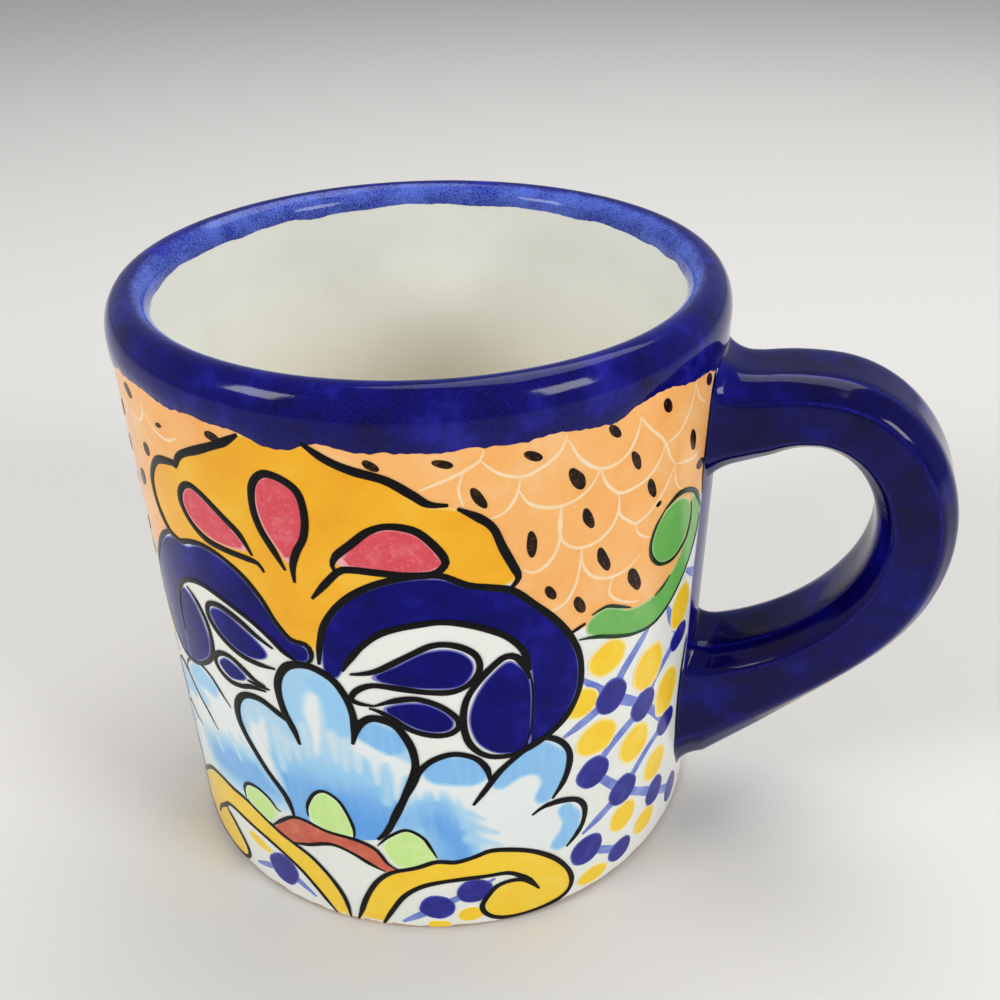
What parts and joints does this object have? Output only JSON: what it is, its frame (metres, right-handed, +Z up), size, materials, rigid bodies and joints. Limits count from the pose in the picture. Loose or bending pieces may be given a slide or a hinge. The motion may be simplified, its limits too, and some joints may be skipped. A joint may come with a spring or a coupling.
{
  "type": "coffee mug",
  "caption": "Straight-sided glazed earthenware coffee mug with a round lip, a flat base and a looped strap handle luted on at flared slip joints, painted all round.",
  "frame": {"origin": "centre of the flat underside, on the axis of the cup", "axes": "+Z up along the cup's axis, +X from the axis towards the handle"},
  "size_m": [0.1279, 0.092, 0.095],
  "materials": {
    "white_glaze": "glossy white tin glaze over buff earthenware, painted under a clear coat",
    "cobalt_glaze": "glossy deep cobalt glaze, thinner on edges",
    "painted_ornament": "glossy brush-painted glaze colours in slight relief"
  },
  "bodies": {
    "root": {"cup_body": "white_glaze", "handle": "cobalt_glaze", "upper_slip_joint": "cobalt_glaze", "lower_slip_joint": "cobalt_glaze"}
  },
  "joints": []
}
